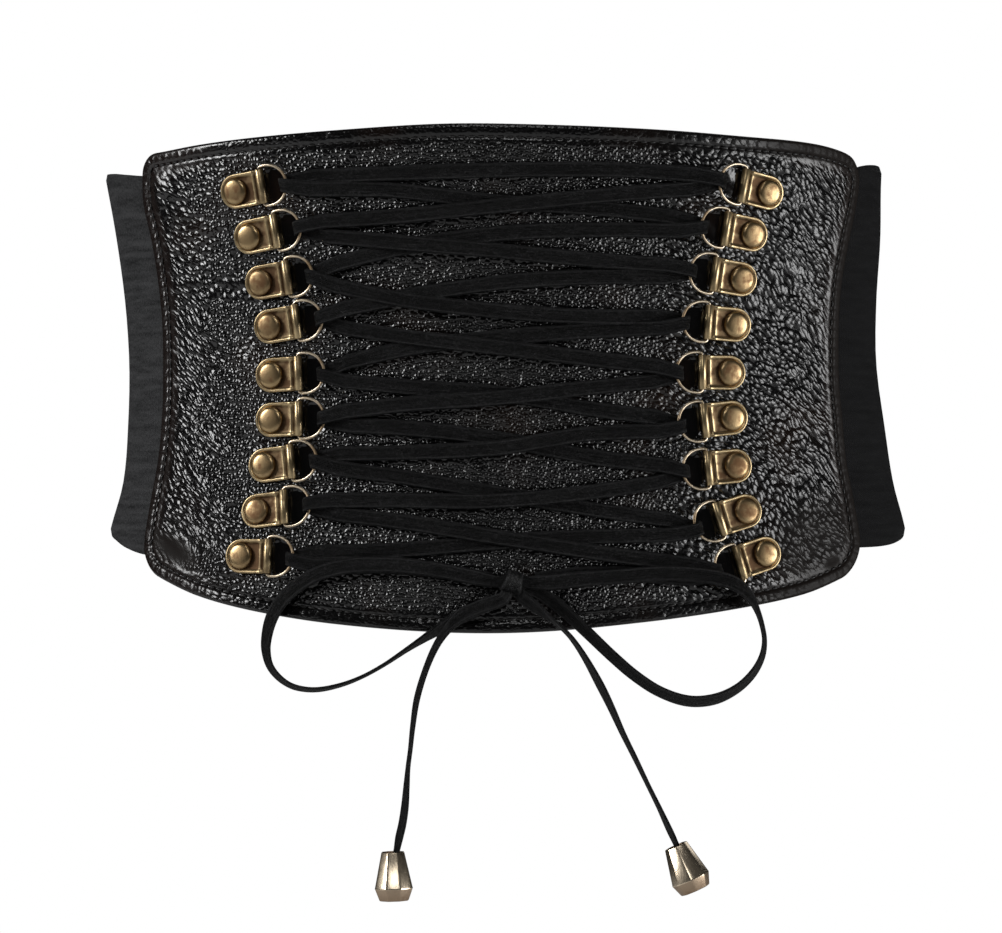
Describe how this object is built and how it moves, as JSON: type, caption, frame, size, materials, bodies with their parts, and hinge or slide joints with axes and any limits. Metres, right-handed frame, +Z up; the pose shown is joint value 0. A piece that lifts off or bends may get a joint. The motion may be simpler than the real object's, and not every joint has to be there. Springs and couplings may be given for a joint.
{
  "type": "cinch belt",
  "caption": "Wide corset-style cinch belt: laced leather front panel with riveted D-ring tabs, elastic wings and a lace tied in a bow with metal tips.",
  "frame": {"origin": "middle of the waist hollow, at half the height of the front panel", "axes": "+X to the right as the front is seen, the laced front faces -Y, +Z up along the waist"},
  "size_m": [0.2658, 0.1905, 0.2439],
  "materials": {
    "leather": "glossy grained",
    "elastic": "ribbed elastic",
    "lace": "flat woven",
    "tab_brass": "antique",
    "ring_brass": "worn antique",
    "tip_brass": "pale polished"
  },
  "bodies": {
    "root": {"front_panel": "leather", "back_placket": "leather", "elastic_left": "elastic", "elastic_right": "elastic", "lacing": "lace", "bow_knot": "lace", "bow_loop_left": "lace", "bow_loop_right": "lace", "lace_tail_left": "lace", "lace_tail_right": "lace", "lace_tip_left": "tip_brass", "lace_tip_right": "tip_brass", "tab_left_1": "tab_brass", "ring_left_1": "ring_brass", "tab_left_2": "tab_brass", "ring_left_2": "ring_brass", "tab_left_3": "tab_brass", "ring_left_3": "ring_brass", "tab_left_4": "tab_brass", "ring_left_4": "ring_brass", "tab_left_5": "tab_brass", "ring_left_5": "ring_brass", "tab_left_6": "tab_brass", "ring_left_6": "ring_brass", "tab_left_7": "tab_brass", "ring_left_7": "ring_brass", "tab_left_8": "tab_brass", "ring_left_8": "ring_brass", "tab_left_9": "tab_brass", "ring_left_9": "ring_brass", "tab_right_1": "tab_brass", "ring_right_1": "ring_brass", "tab_right_2": "tab_brass", "ring_right_2": "ring_brass", "tab_right_3": "tab_brass", "ring_right_3": "ring_brass", "tab_right_4": "tab_brass", "ring_right_4": "ring_brass", "tab_right_5": "tab_brass", "ring_right_5": "ring_brass", "tab_right_6": "tab_brass", "ring_right_6": "ring_brass", "tab_right_7": "tab_brass", "ring_right_7": "ring_brass", "tab_right_8": "tab_brass", "ring_right_8": "ring_brass", "tab_right_9": "tab_brass", "ring_right_9": "ring_brass"}
  },
  "joints": []
}
